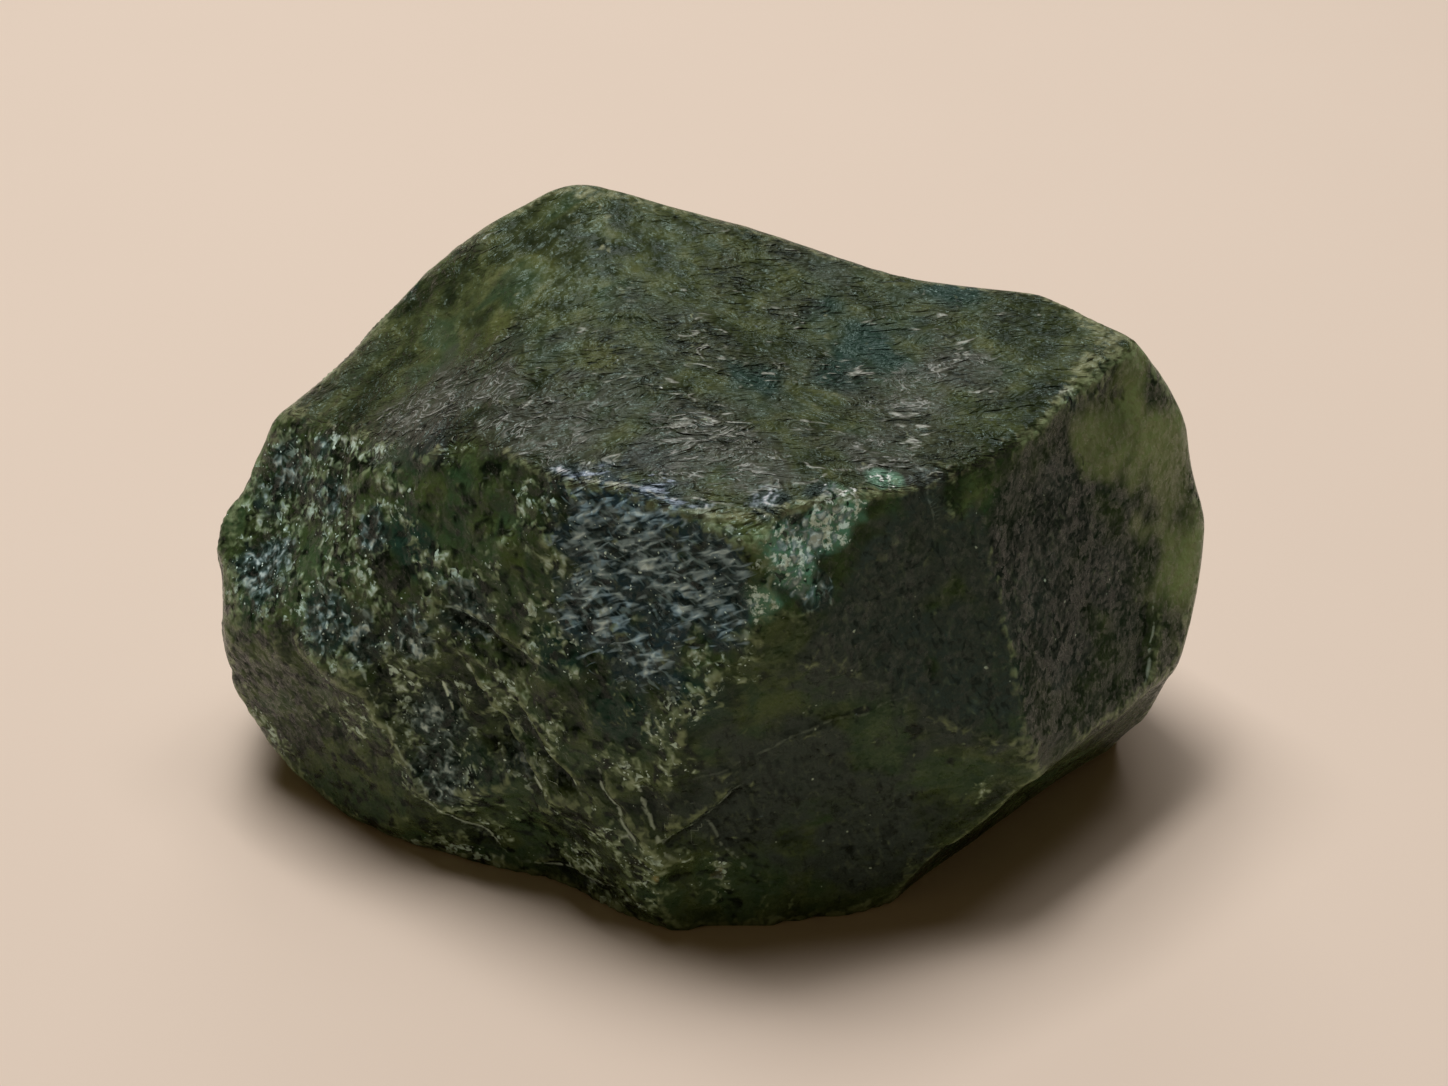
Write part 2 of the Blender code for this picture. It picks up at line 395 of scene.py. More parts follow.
@dataclass
class BrokenForm:
    """The boulder's form as lengths from its heart: flat breaks, dishes, low swells, chips and scars."""

    heart_height: float = 32.0
    chip_seed: int = 11
    chip_count: int = 90
    chip_widths: tuple[float, float] = (7.0, 16.0)
    chip_depth: float = 0.05  # of its half width
    chip_wear: float = 0.3
    swell_seed: int = 4
    swell_waves: int = 14
    swell_lengths: tuple[float, float] = (16.0, 40.0)
    swell_height: float = 0.22
    scar_seed: int = 23
    scar_count: int = 300
    scar_widths: tuple[float, float] = (1.8, 6.5)
    scar_depths: tuple[float, float] = (0.05, 0.10)  # of its half width
    scar_wear: float = 0.12

    def reach_of_face(self, ways: Array, face: Face) -> Array:
        """The length along each way to the face's plane: its reach over the cosine between them."""
        facing = ways @ direction(face.turn, face.lift)
        return np.where(facing > 1e-3, face.reach / np.maximum(facing, 1e-3), NEVER_MET)

    def block(self, ways: Array) -> Array:
        """The block before any flake left it: the worn least of the lengths to its faces.

        Args:
            ways: unit directions.

        Returns:
            One length for each direction.
        """
        lengths = np.full(len(ways), NEVER_MET)
        for face in FACES.values():
            lengths = worn_lesser(lengths, self.reach_of_face(ways, face), face.wear)
        return lengths

    def surface_spot(self, turn: float, lift: float) -> tuple[Array, Array]:
        """Where the block's surface is in one direction.

        Args:
            turn: of the direction.
            lift: of the direction.

        Returns:
            The place, from the heart, and the surface's normal there: the cross product of two short steps.
        """
        step = 1.0
        spots = [(turn, lift), (turn + step, lift), (turn, lift + step)]
        ways = np.array([direction(*spot) for spot in spots])
        here, along_turn, along_lift = ways * self.block(ways)[:, None]
        normal = np.cross(along_turn - here, along_lift - here)
        return here, normal / np.linalg.norm(normal)

    def cut_dish(self, ways: Array, lengths: Array, dish: Dish) -> None:
        """Shortens the lengths to where they enter the ball that left the dish.

        The ball's radius is (w^2 + d^2) / 2d for half width w and depth d, and its centre stands that much
        less d out from the surface.

        Args:
            ways: unit directions.
            lengths: changed in place.
            dish: the hollow to cut.
        """
        spot, normal = self.surface_spot(dish.turn, dish.lift)
        radius = (dish.width**2 + dish.depth**2) / (2.0 * dish.depth)
        centre = spot + normal * (radius - dish.depth)
        along = ways @ centre
        inside = along**2 - centre @ centre + radius**2
        met = np.flatnonzero((inside > 0.0) & (along > 0.0))
        entry = along[met] - np.sqrt(inside[met])
        lengths[met] = worn_lesser(lengths[met], entry, dish.wear)

    def chips(self) -> Iterator[Dish]:
        """Broad shallow flake scars in random places, crowded enough to run into each other.

        Returns:
            The scars, one by one, the same in every run.
        """
        rng = np.random.default_rng(self.chip_seed)
        for _ in range(self.chip_count):
            turn = rng.uniform(-180.0, 180.0)
            lift = degrees(asin(rng.uniform(-0.65, 0.95)))
            width = rng.uniform(*self.chip_widths)
            yield Dish(turn, lift, width, self.chip_depth * width, self.chip_wear)

    def scars(self) -> Iterator[Dish]:
        """Small crisp scars, many of them little and few of them large.

        Returns:
            The scars, one by one, the same in every run.
        """
        rng = np.random.default_rng(self.scar_seed)
        narrow, wide = self.scar_widths
        for _ in range(self.scar_count):
            turn = rng.uniform(-180.0, 180.0)
            lift = degrees(asin(rng.uniform(-0.6, 0.97)))
            width = narrow + (wide - narrow) * rng.uniform() ** 2
            yield Dish(turn, lift, width, rng.uniform(*self.scar_depths) * width, self.scar_wear)

    def swells(self, points: Array) -> Array:
        """Low sine waves in random directions, summed, so that no face is truly flat.

        Args:
            points: places from the heart.

        Returns:
            What to add to the length of each point.
        """
        rng = np.random.default_rng(self.swell_seed)
        height = np.zeros(len(points))
        for _ in range(self.swell_waves):
            heading = rng.normal(size=3)
            length = rng.uniform(*self.swell_lengths)
            phase = rng.uniform(0.0, 2.0 * pi)
            run = points @ (heading / np.linalg.norm(heading))
            height += self.swell_height * np.sin(2.0 * pi * run / length + phase)
        return height

    def lengths(self, ways: Array) -> Array:
        """The stone's length in each direction, down to its small scars.

        Args:
            ways: unit directions.

        Returns:
            One length for each direction.
        """
        lengths = self.block(ways)
        lengths = lengths + self.swells(ways * lengths[:, None])
        for dish in (*DISHES.values(), *self.chips(), *self.scars()):
            self.cut_dish(ways, lengths, dish)
        return lengths


@dataclass
class CloseRelief:
    """What the break left on the surface at the scale of its grain, as depths cut into the stone.

    A step's depth is drop * rise(s) * exp(-s / run_out) * beside, with s the way across its line.
    """

    form: BrokenForm
    hackle_size: float = 6.5
    hackle_depth: float = 0.35
    facet_sizes: tuple[float, ...] = (8.0, 4.2)
    facet_depths: tuple[float, ...] = (0.45, 0.22)
    pit_size: float = 2.2
    pit_depth: float = 0.22
    ripple_size: float = 1.9
    ripple_depth: float = 0.35
    ripple_heading: tuple[float, float, float] = (1.0, 0.12, 0.0)
    ripple_drawn: float = 2.4  # times its width
    waver: float = 0.5  # that facets and ripples are bent by
    waver_size: float = 2.5
    ledge_width: float = 0.4
    ledge_waver: float = 0.9
    ledge_waver_size: float = 4.0
    ledge_depth: tuple[float, float] = (5.0, 9.0)  # off its line, inward or out: where a step fades and ends
    lip_reach: float = 3.0  # either side of a step's line
    upward_slopes: tuple[float, float] = (0.60, 0.95)  # of the normal, from a side's to the top's
    hackle_least: float = 0.2  # share of the full depth that is left where the break is smooth
    facet_least: float = 0.06
    pit_least: float = 0.3
    ripple_least: float = 0.4
    rough_size: float = 26.0  # of the places that are rough behind
    rough_behind: float = 0.8
    behind: tuple[float, float] = (-5.0, 12.0)  # in y, from where the front ends to where the back starts
    sound_spared: float = 0.8  # how far sound places are spared roughness
    ripple_patches: float = 11.0  # size of the places where ripples gather
    hackle: Grain = field(default_factory=lambda: Grain(31))
    pits: Grain = field(default_factory=lambda: Grain(32))
    ripples: Grain = field(default_factory=lambda: Grain(33))

    def ledge_line(self, points: Array, ledge: Ledge) -> tuple[Array, Array]:
        """Where the points lie about one step's line, which wavers by a noise.

        Args:
            points: places from the heart.
            ledge: the step.

        Returns:
            How far each point is across the line, above 0 on its low side, and how much of the step there is
            beside it: 1 along the middle, and less towards its ends.
        """
        start, normal = self.form.surface_spot(ledge.turn, ledge.lift)
        finish, _ = self.form.surface_spot(ledge.end_turn, ledge.end_lift)
        run = finish - start
        length = float(np.linalg.norm(run))
        heading = run / length
        side = np.cross(normal, heading)
        side /= np.linalg.norm(side)
        offset = points - start
        across = offset @ side + self.ledge_waver * self.hackle.heights(points, self.ledge_waver_size)
        share = offset @ heading / length
        fades, gone = self.ledge_depth
        near = smooth(-np.abs(offset @ normal), -gone, -fades)
        return across, near * smooth(share, -0.05, 0.2) * smooth(-share, -1.05, -0.8)

    def lips(self, points: Array) -> tuple[Array, Array]:
        """How far each point is across the nearest step's line, and how strong that step's painted lip
        highlight is.

        Args:
            points: places from the heart.

        Returns:
            The way across, no further than the reach on either side, and the brightness, from 0 to 1.
        """
        nearest, bright = np.full(len(points), self.lip_reach), np.zeros(len(points))
        for ledge in LEDGES.values():
            across, beside = self.ledge_line(points, ledge)
            nearer = (np.abs(across) < np.abs(nearest)) & (beside > 0.0)
            nearest = np.where(nearer, across, nearest)
            bright = np.where(nearer, ledge.shine * beside, bright)
        return nearest, bright

    def depths(self, points: Array, normals: Array, sound: Array) -> Array:
        """All the relief together.

        Args:
            points: places from the heart.
            normals: of the form there.
            sound: how far each place is spared, from 0 to 1.

        Returns:
            One depth for each point, never below 0.
        """
        upward = smooth(normals[:, 2], *self.upward_slopes)
        leftward = smooth(-normals[:, 0] - 0.5 * normals[:, 1], -0.1, 0.9) * (1.0 - upward)
        behind = smooth(points[:, 1], *self.behind)
        patched = smooth(self.pits.clouds(points, self.rough_size, 2), -0.1, 0.35)
        elsewhere = self.rough_behind * patched * behind
        rough = np.maximum(leftward, elsewhere * (1.0 - upward)) * (1.0 - self.sound_spared * sound)
        hackled = 1.0 - self.hackle.crests(points, self.hackle_size, 4)
        depth = self.hackle_depth * at_least(rough, self.hackle_least) * hackled
        bends = [self.pits.heights(points + 9.0 * k, self.waver_size) for k in range(3)]
        wavered = points + self.waver * np.stack(bends, axis=1)
        for size, most in zip(self.facet_sizes, self.facet_depths):
            depth += most * at_least(rough, self.facet_least) * self.hackle.facets(wavered, size)
        pitted = smooth(self.pits.clouds(points, self.pit_size, 3), 0.05, 0.65)
        depth += self.pit_depth * pitted * at_least(rough, self.pit_least) * (1.0 - 0.6 * upward)
        strung = drawn_out(wavered, self.ripple_heading, self.ripple_drawn)
        gathered = smooth(self.pits.clouds(points, self.ripple_patches, 2), -0.2, 0.3)
        rippled = upward * (1.0 - 0.6 * sound) * at_least(gathered, self.ripple_least)
        depth += self.ripple_depth * rippled * (1.0 - self.ripples.crests(strung, self.ripple_size, 3))
        for ledge in LEDGES.values():
            across, beside = self.ledge_line(points, ledge)
            rise = smooth(across, -self.ledge_width, self.ledge_width)
            depth += ledge.drop * rise * np.exp(-np.maximum(across, 0.0) / ledge.run_out) * beside
        return np.maximum(depth, 0.0)


@dataclass
class PatchPainter:
    """Works out how much of each mark every point of the stone carries, from 0 to 1."""

    form: BrokenForm
    ragged: float = 0.40  # how far a patch's rim wanders, as a share of its half width
    scatter_seed: int = 51
    scatter_widths: tuple[float, float] = (4.0, 12.0)
    noise: Grain = field(default_factory=lambda: Grain(52))

    def scattered(self, mark: Mark) -> Iterator[Patch]:
        """More patches of the same kind, strewn over the back and round towards both ends.

        Args:
            mark: what they are patches of.

        Returns:
            The patches, one by one, the same in every run.
        """
        rng = np.random.default_rng([self.scatter_seed, list(Mark).index(mark)])
        for _ in range(SCATTERED.get(mark, 0)):
            turn = rng.uniform(20.0, 165.0)
            lift = degrees(asin(rng.uniform(-0.55, 0.6)))
            yield Patch(turn, lift, rng.uniform(*self.scatter_widths))

    def amount(self, points: Array, mark: Mark) -> Array:
        """The greatest of the patches' 1.25 - distance / half width, eased, with a noise that frays the rims.

        Args:
            points: places from the heart.
            mark: what to look for.

        Returns:
            One amount for each point, from 0 to 1.
        """
        fray = self.ragged * self.noise.clouds(points, 7.0, 4)
        found = np.zeros(len(points))
        for patch in (*PATCHES[mark], *self.scattered(mark)):
            spot, _ = self.form.surface_spot(patch.turn, patch.lift)
            distance = np.linalg.norm(points - spot, axis=1) / patch.width
            found = np.maximum(found, smooth(1.25 - distance + fray, 0.0, 1.0))
        return found


@dataclass
class Skin:
    """The lattice of directions, and the closed skin of four-sided faces over it."""

    cells: tuple[int, int, int] = (160, 130, 95)
    stretch: tuple[float, float, float] = (1.15, 1.0, 0.75)

    def lattice(self) -> tuple[Array, Whole]:
        """Six grids of two parameters each, the sides of a box, seen from its middle.

        A point at (a, b, c), each from -1 to 1, becomes (tan(a pi/4), tan(b pi/4), tan(c pi/4)) times the
        stretch, brought to length 1, so that the steps between directions stay nearly even.

        Returns:
            The unit directions, and the faces as rows of four of them, seen anticlockwise from outside.
        """
        cells = np.array(self.cells)
        places, faces, first = [], [], 0
        for axis, far in product(range(3), (0, 1)):
            right, up = (axis + 1) % 3, (axis + 2) % 3
            across, along = np.meshgrid(np.arange(cells[right] + 1), np.arange(cells[up] + 1), indexing="ij")
            grid = np.zeros((*across.shape, 3), int)
            grid[..., right], grid[..., up], grid[..., axis] = across, along, cells[axis] * far
            index = first + np.arange(across.size).reshape(across.shape)
            round_each = [index[:-1, :-1], index[1:, :-1], index[1:, 1:], index[:-1, 1:]]
            quads = np.stack(round_each, -1).reshape(-1, 4)
            places.append(grid.reshape(-1, 3))
            faces.append(quads if far else quads[:, ::-1])
            first += across.size
        unique, shared = np.unique(np.concatenate(places), axis=0, return_inverse=True)
        ways = np.tan((2.0 * unique / cells - 1.0) * pi / 4.0) * np.array(self.stretch)
        return ways / np.linalg.norm(ways, axis=1, keepdims=True), shared.reshape(-1)[np.concatenate(faces)]

    @staticmethod
    def normals(points: Array, quads: Whole) -> Array:
        """The unit sum, at each point, of its faces' normals: the cross products of their diagonals.

        Args:
            points: rows of x, y, z.
            quads: the faces, as rows of four points.

        Returns:
            One unit normal for each point.
        """
        corners = points[quads]
        flat = np.cross(corners[:, 2] - corners[:, 0], corners[:, 3] - corners[:, 1])
        summed = np.stack(
            [np.bincount(quads.ravel(), np.repeat(flat[:, k], 4), len(points)) for k in range(3)], axis=1
        )
        return summed / np.linalg.norm(summed, axis=1, keepdims=True)

    @staticmethod
    def eased(values: Array, quads: Whole, rounds: int) -> Array:
        """Each value moved to the mean of its neighbours along the faces' edges, so many times over.

        Args:
            values: one for each point.
            quads: the faces, as rows of four points.
            rounds: how many times over.

        Returns:
            The evened values.
        """
        near, far = quads.ravel(), np.roll(quads, -1, axis=1).ravel()
        counts = np.bincount(near, minlength=len(values)) + np.bincount(far, minlength=len(values))
        for _ in range(rounds):
            total = np.bincount(near, values[far], len(values)) + np.bincount(far, values[near], len(values))
            values = total / counts
        return values

    def standing_out(self, points: Array, quads: Whole, normals: Array, rounds: int) -> Array:
        """How far each point stands out of the eased skin along its normal: crests above 0, clefts below."""
        mean = np.stack([self.eased(points[:, k], quads, rounds) for k in range(3)], axis=1)
        return np.einsum("ij,ij->i", points - mean, normals)


def linear(hex_colour: str) -> Colour:
    """The linear colour of an sRGB hex value: c / 12.92 below 0.04045, else ((c + 0.055) / 1.055)^2.4.

    Args:
        hex_colour: the sign # and two digits each for red, green and blue.

    Returns:
        The linear red, green and blue, and an opacity of 1.
    """
    parts = [int(hex_colour[k : k + 2], 16) / 255.0 for k in (1, 3, 5)]
    red, green, blue = (c / 12.92 if c <= 0.04045 else ((c + 0.055) / 1.055) ** 2.4 for c in parts)
    return red, green, blue, 1.0


def per_mm(size: float) -> float:
    """The scale that makes a texture's features this many millimetres across on Object coordinates."""
    return 1.0 / (size * MM)


def add_node(
    tree: bpy.types.NodeTree,
    kind: str,
    settings: dict[str, Any] | None = None,
    links: dict[int | str, Any] | None = None,
    stops: Iterable[tuple[float, Colour]] = (),
) -> bpy.types.Node:
    """Adds one node.

    Args:
        tree: that it goes into.
        kind: Blender's name for the node.
        settings: the node's own properties.
        links: by input, the socket to join to it or the value to set on it.
        stops: a colour ramp's places and colours.

    Returns:
        The node.
    """
    made = tree.nodes.new(kind)
    for name, value in (settings or {}).items():
        setattr(made, name, value)
    for name, source in (links or {}).items():
        if isinstance(source, bpy.types.NodeSocket):
            tree.links.new(source, made.inputs[name])
        else:
            made.inputs[name].default_value = source
    for count, (place, colour) in enumerate(stops):
        stop = made.color_ramp.elements[count] if count < 2 else made.color_ramp.elements.new(place)
        stop.position, stop.color = place, colour
    return made


def heading_turn(along: tuple[float, float, float]) -> tuple[float, float, float]:
    """The Euler angles that turn +X to look this way."""
    return tuple(Vector(along).to_track_quat("X", "Z").to_euler())


class Texture(Enum):
    """How a pattern runs."""

    CLOUD = "soft uneven clouds, brightest at their middles"
    CREST = "thin winding lines, brightest along their crests"
    SHARD = "angular grains, each of its own brightness"
    SPECK = "small dots, brightest in the middle, and each of its own size"


class Pattern(NamedTuple):
    """A random pattern.

    It has the way it runs, the size of its features in millimetres, how much finer detail there is, how far it
    is bent, the way it is drawn out, if any, and how many times its width.
    """

    texture: Texture
    size: float
    detail: float
    bend: float = 0.0
    along: tuple[float, float, float] = (1.0, 0.0, 0.0)
    drawn: float = 1.0


class Layer(NamedTuple):
    """One tint over those before it.

    It starts to show where pattern + spread * (gate - 1) passes low, and is full, at its strength, from high.
    """

    tint: str
    pattern: str
    gate: str
    spread: float
    low: float
    high: float
    strength: float


MIX_FACTOR, MIX_A, MIX_B, MIX_RESULT = 0, 6, 7, 2


@dataclass(frozen=True)
class RawNephrite:
    """Nephrite jade, raw: a felt of fine fibres, broken and tumbled, so dark, waxy and splintery by turns.

    It gives the eye deep green clouds with olive and near-black between them, a greasy gloss where it is
    sound, and a pale granular bloom where blows have bruised the felt.
    """

    name: str = "nephrite_raw_broken"
    ior: float = 1.61
    specular: tuple[float, float] = (0.12, 0.16)  # of the sides, and of the wetter-looking top
    gloss: str = "#DDFFF0"  # the felt scatters the cool end of what its surface reflects
    roughness: tuple[float, float] = (0.18, 0.42)  # from the waxiest grain to the dullest
    roughness_grain: tuple[float, float] = (0.35, 0.65)  # brightness of those grains
    ground: tuple[tuple[float, str], ...] = (
        (0.30, "#1A2212"), (0.74, "#828658"), (0.42, "#303820"), (0.51, "#474F2E"), (0.61, "#626741"),
    )
    patterns: tuple[tuple[str, Pattern], ...] = (
        ("clouds", Pattern(Texture.CLOUD, 9.0, 1.0, 0.5)),
        ("mottle", Pattern(Texture.CLOUD, 3.6, 1.5, 0.3)),
        ("blots", Pattern(Texture.CLOUD, 2.2, 1.5, 0.4)),
        ("grain", Pattern(Texture.CLOUD, 0.8, 3.0, 0.3)),  # drawn coarse: the real felt is too fine to show
        ("crumbs", Pattern(Texture.CLOUD, 1.2, 1.5, 0.4)),
        ("strings", Pattern(Texture.CREST, 3.0, 3.0, 1.2, (1.0, 0.12, 0.0), 2.2)),
        ("ripples", Pattern(Texture.CLOUD, 1.3, 1.5, 1.1, (1.0, 0.12, 0.0), 2.4)),
        ("fibres", Pattern(Texture.CLOUD, 0.9, 1.5, 0.6, (0.24, 0.2, -0.95), 2.4)),
        ("slants", Pattern(Texture.CLOUD, 0.85, 1.5, 0.5, (0.85, -0.1, 0.40), 3.2)),
        ("backslants", Pattern(Texture.CLOUD, 0.85, 1.5, 0.5, (0.85, -0.25, -0.45), 2.8)),
        ("shards", Pattern(Texture.SHARD, 0.6, 0.35, 0.5)),
        ("flakes", Pattern(Texture.SHARD, 1.2, 0.25, 0.9)),
        ("specks", Pattern(Texture.SPECK, 0.55, 0.0, 0.35)),
        ("sparks", Pattern(Texture.SPECK, 1.4, 0.0, 0.6)),
    )
    layers: tuple[Layer, ...] = (
        Layer("#1D3A28", "clouds", "leftward", 0.0, 0.50, 0.62, 0.65),
        # painted sheen: the top is greyed where its strings run
        Layer("#3D4034", "clouds", "strung", 0.50, 0.18, 0.60, 0.75),
        Layer("#253B33", "clouds", "teal", 0.50, 0.20, 0.56, 0.90),
        Layer("#5E6230", "clouds", "yellow", 0.60, 0.30, 0.72, 0.60),
        Layer("#3B3F3B", "mottle", "shade", 0.80, 0.05, 0.45, 0.95),
        # painted shade: faces turned to the right are darkened towards near-black
        Layer("#181D18", "clouds", "rightward", 0.80, 0.15, 0.60, 0.80),
        Layer("#45473D", "mottle", "sheen", 0.80, 0.10, 0.60, 0.85),
        Layer("#8E9160", "clouds", "fringe", 0.70, 0.10, 0.64, 0.86),
        Layer("#B39C68", "mottle", "rind", 0.60, 0.40, 0.56, 0.85),
        Layer("#080E07", "blots", "leftward", -0.30, 0.52, 0.36, 0.90),
        # painted highlights on the top and in the sheen patches: pale strings where the light would catch the
        # ripples, with darker strokes between
        Layer("#191E16", "ripples", "strung", -0.30, 0.48, 0.36, 0.75),
        Layer("#6A6D5C", "ripples", "strung", 0.30, 0.55, 0.68, 0.60),
        Layer("#72736A", "ripples", "sheen", 0.30, 0.52, 0.66, 0.60),
        Layer("#B2B4A8", "ripples", "strung", 0.30, 0.58, 0.76, 0.90),
        Layer("#A9AAA2", "strings", "sheen", 0.40, 0.86, 0.99, 0.65),
        Layer("#181B17", "fibres", "shade", -0.20, 0.47, 0.36, 0.60),
        Layer("#585C4C", "fibres", "shade", 0.25, 0.56, 0.72, 0.55),
        Layer("#929978", "crumbs", "strewn", 0.40, 0.44, 0.62, 0.85),
        Layer("#E2E5DC", "crumbs", "strewn", 0.40, 0.57, 0.74, 0.95),
        # painted glints: pale angular flakes where the stone sparkles
        Layer("#D8E0D6", "flakes", "strewn", 0.60, 0.84, 1.04, 0.90),
        Layer("#263230", "mottle", "frost", 0.60, 0.16, 0.46, 0.85),
        # painted glow: a lighter emerald with pale dots on the corner, for the light that passes a little way
        # into it
        Layer("#6A9077", "mottle", "emerald_glow", 0.60, 0.14, 0.52, 0.90),
        Layer("#0A110D", "crumbs", "frost", -0.30, 0.44, 0.35, 0.85),
        Layer("#F4F6EE", "grain", "emerald_glow", 0.35, 0.46, 0.60, 0.95),
        Layer("#768286", "crumbs", "frost", 0.35, 0.45, 0.60, 0.88),
        Layer("#DEE0E2", "crumbs", "frost", 0.35, 0.55, 0.72, 0.95),
        Layer("#2D3A42", "mottle", "needle", 0.60, 0.10, 0.40, 0.95),
        Layer("#0A100F", "slants", "needle", -0.30, 0.46, 0.34, 0.80),
        Layer("#8A9AA2", "backslants", "needle", 0.30, 0.51, 0.68, 0.65),
        Layer("#9CA8B6", "slants", "needle", 0.30, 0.45, 0.62, 0.94),
        Layer("#ECEFF6", "slants", "needle", 0.30, 0.58, 0.74, 0.95),
        # painted glints: small bright specks
        Layer("#F0F4F0", "specks", "strewn", 0.60, 0.44, 0.66, 0.95),
        Layer("#90926E", "crumbs", "crest", 0.35, 0.28, 0.68, 0.78),
        # painted shade: the clefts are darkened
        Layer("#0B0F08", "crumbs", "cleft", 0.80, 0.10, 0.50, 0.75),
        # painted glints: sparse bright sparks on the dark faces
        Layer("#C9CDBE", "sparks", "shade", 0.20, 0.68, 0.84, 0.85),
    )
    bend_size: float = 2.5  # of the noise that bends grains, for each mm of bend
    bend_reach: float = 2.0
    shard_crumbs: tuple[float, float] = (0.6, 4.0)  # size and strength of what breaks up each shard
    cloud_roughness: float = 0.6  # how much of each finer octave shows
    specks_fade: float = 1.7  # of a speck's brightness for each cell's width from its middle
    crest_sharpness: float = 8.0
    mottled: float = 0.30  # the mottle's share of the ground, and the clouds have the rest
    grained: tuple[tuple[str, float], ...] = (("flakes", 0.07), ("shards", 0.03))  # added to the ground
    uneven: float = 1.6  # how strongly the mottle breaks up what is strewn
    chipping: tuple[float, float, float] = (0.36, 0.56, 0.30)  # crumbs that chip a lip, spare it, and how far
    # painted highlight along each step's lip, and painted shadow under the step
    lip_highlight_tint: str = "#EEF0E2"
    lip_widths: tuple[float, float] = (0.04, 0.32)  # mm from a step's line: full, and gone
    step_shadow_tint: str = "#0B110A"
    under_starts: tuple[float, float] = (0.1, 0.5)  # mm below a step's line, of its painted shadow
    under_ends: tuple[float, float] = (0.8, 2.9)
    under_strength: float = 0.8
    side_bounce_tint: Colour = (0.80, 1.0, 0.92, 1.0)  # linear, and multiplied in: the sides are painted greener than the top, to cancel the warm light the floor throws on them
    relief: tuple[tuple[str, float], ...] = (("mottle", 0.6), ("crumbs", 0.25), ("grain", 0.08))  # in mm
    strung_relief: tuple[tuple[str, float], ...] = (("strings", 0.35), ("ripples", 0.9))  # on the top only
    lean: tuple[float, float] = (0.55, 1.1)  # of the broken grains, away from bruises and on them

    def pattern(
        self, tree: bpy.types.NodeTree, coordinates: bpy.types.NodeSocket, pattern: Pattern
    ) -> tuple[bpy.types.NodeSocket, bpy.types.NodeSocket]:
        """Draws one pattern.

        Args:
            tree: that it goes into.
            coordinates: the places to read it at, in metres.
            pattern: what to draw.

        Returns:
            Its brightness, between 0 and 1, and a random vector that grains have each of their own.
        """
        place = coordinates
        grained = pattern.texture in (Texture.SHARD, Texture.SPECK)
        if grained and pattern.bend:
            bent = add_node(
                tree, "ShaderNodeTexNoise", None,
                {"Vector": coordinates, "Scale": per_mm(self.bend_size * pattern.bend), "Detail": 2.0},
            ).outputs["Color"]
            bend = self.bend_reach * pattern.bend * MM
            place = add_node(
                tree, "ShaderNodeVectorMath", {"operation": "MULTIPLY_ADD"},
                {0: bent, 1: (bend, bend, bend), 2: coordinates},
            ).outputs[0]
        place = add_node(
            tree, "ShaderNodeMapping", {"vector_type": "TEXTURE"},
            {0: place, "Rotation": heading_turn(pattern.along), "Scale": (pattern.drawn, 1.0, 1.0)},
        ).outputs[0]
        if grained:
            cells = add_node(
                tree, "ShaderNodeTexVoronoi", None, {"Vector": place, "Scale": per_mm(pattern.size)}
            )
            own = add_node(tree, "ShaderNodeSeparateColor", None, {0: cells.outputs["Color"]}).outputs[0]
            if pattern.texture is Texture.SHARD:
                crumb_size, crumb_strength = self.shard_crumbs
                crumbs = add_node(
                    tree, "ShaderNodeTexNoise", None,
                    {"Vector": place, "Scale": per_mm(crumb_size * pattern.size), "Detail": 2.0},
                ).outputs[0]
                crumbs = add_node(
                    tree, "ShaderNodeMath", {"operation": "SUBTRACT"}, {0: crumbs, 1: 0.5}
                ).outputs[0]
                own = add_node(
                    tree, "ShaderNodeMath", {"operation": "MULTIPLY_ADD"},
                    {0: crumbs, 1: crumb_strength * pattern.detail, 2: own},
                ).outputs[0]
                return own, cells.outputs["Color"]
            return add_node(
                tree, "ShaderNodeMath", {"operation": "MULTIPLY_ADD"},
                {0: cells.outputs["Distance"], 1: -self.specks_fade, 2: own},
            ).outputs[0], cells.outputs["Color"]
        clouds = add_node(
            tree, "ShaderNodeTexNoise", None,
            {
                "Vector": place, "Scale": per_mm(pattern.size), "Detail": pattern.detail,
                "Roughness": self.cloud_roughness, "Distortion": pattern.bend,
            },
        )
        if pattern.texture is Texture.CLOUD:
            return clouds.outputs[0], clouds.outputs["Color"]
        off_middle = add_node(
            tree, "ShaderNodeMath", {"operation": "SUBTRACT"}, {0: clouds.outputs[0], 1: 0.5}
        ).outputs[0]
        off_middle = add_node(tree, "ShaderNodeMath", {"operation": "ABSOLUTE"}, {0: off_middle}).outputs[0]
        crests = add_node(
            tree, "ShaderNodeMath", {"operation": "MULTIPLY_ADD"},
            {0: off_middle, 1: -self.crest_sharpness, 2: 1.0},
        ).outputs[0]
        return crests, clouds.outputs["Color"]

    def material(self) -> bpy.types.Material:
        """Builds the node tree.

        Returns:
            The material, for the stone alone: it reads the stone's own attributes and Object coordinates.
        """
        material = bpy.data.materials.new(self.name)
        material.use_nodes = True
        tree = material.node_tree
        shader = tree.nodes["Principled BSDF"]
        fields = {
            name: add_node(tree, "ShaderNodeAttribute", {"attribute_name": name}).outputs["Fac"]
            for name in (
                *(mark.value for mark in Mark),
                "crest", "cleft", "upward", "leftward", "rightward", "strung", "sparkle",
                "lip_across", "lip_shine",
            )
        }
        coordinates = add_node(tree, "ShaderNodeTexCoord").outputs["Object"]
        leans = {}
        for name, pattern in self.patterns:
            fields[name], leans[name] = self.pattern(tree, coordinates, pattern)

